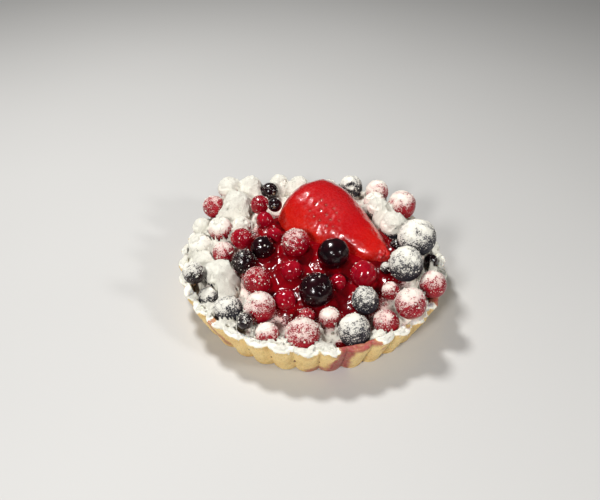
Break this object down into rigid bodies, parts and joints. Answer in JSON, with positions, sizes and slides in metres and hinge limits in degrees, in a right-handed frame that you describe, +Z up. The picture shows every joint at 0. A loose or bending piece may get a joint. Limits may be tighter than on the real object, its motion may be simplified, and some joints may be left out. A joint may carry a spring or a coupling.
{
  "type": "fruit tart",
  "caption": "Small round tart with a fluted shortcrust shell, red jelly, half a strawberry and sugar-dusted red and dark berries heaped on top.",
  "frame": {"origin": "middle of the flat base, on the surface the tart stands on", "axes": "+Z up; -Y towards the side where the fruit is heaped lowest; the strawberry's tip points to +X and -Y"},
  "size_m": [0.103, 0.1032, 0.0348],
  "materials": {
    "crust": "matte",
    "jelly": "gloss",
    "strawberry": "gloss",
    "redcurrant": "satin",
    "blackcurrant": "gloss",
    "blueberry": "satin",
    "sugar": "matte"
  },
  "bodies": {
    "root": {"crust": "crust", "jelly_bed": "jelly", "strawberry": "strawberry", "blackcurrant_01": "blackcurrant", "blackcurrant_02": "blackcurrant", "blackcurrant_03": "blackcurrant", "blackcurrant_04": "blackcurrant", "blackcurrant_05": "blackcurrant", "blackcurrant_06": "blackcurrant", "blackcurrant_07": "blackcurrant", "blackcurrant_08": "blackcurrant", "blackcurrant_09": "blackcurrant", "blackcurrant_10": "blackcurrant", "blackcurrant_11": "blackcurrant", "blueberry_01": "blueberry", "blueberry_02": "blueberry", "blueberry_03": "blueberry", "blueberry_04": "blueberry", "blueberry_05": "blueberry", "blueberry_06": "blueberry", "blueberry_07": "blueberry", "blueberry_08": "blueberry", "blueberry_09": "blueberry", "blueberry_10": "blueberry", "blueberry_11": "blueberry", "blueberry_12": "blueberry", "blueberry_13": "blueberry", "redcurrant_01": "redcurrant", "redcurrant_02": "redcurrant", "redcurrant_03": "redcurrant", "redcurrant_04": "redcurrant", "redcurrant_05": "redcurrant", "redcurrant_06": "redcurrant", "redcurrant_07": "redcurrant", "redcurrant_08": "redcurrant", "redcurrant_09": "redcurrant", "redcurrant_10": "redcurrant", "redcurrant_11": "redcurrant", "redcurrant_12": "redcurrant", "redcurrant_13": "redcurrant", "redcurrant_14": "redcurrant", "redcurrant_15": "redcurrant", "redcurrant_16": "redcurrant", "redcurrant_17": "redcurrant", "redcurrant_18": "redcurrant", "redcurrant_19": "redcurrant", "redcurrant_20": "redcurrant", "redcurrant_21": "redcurrant", "redcurrant_22": "redcurrant", "redcurrant_23": "redcurrant", "redcurrant_24": "redcurrant", "redcurrant_25": "redcurrant", "redcurrant_26": "redcurrant", "redcurrant_27": "redcurrant", "redcurrant_28": "redcurrant", "redcurrant_29": "redcurrant", "redcurrant_30": "redcurrant", "redcurrant_31": "redcurrant", "redcurrant_32": "redcurrant", "redcurrant_33": "redcurrant"}
  },
  "joints": []
}
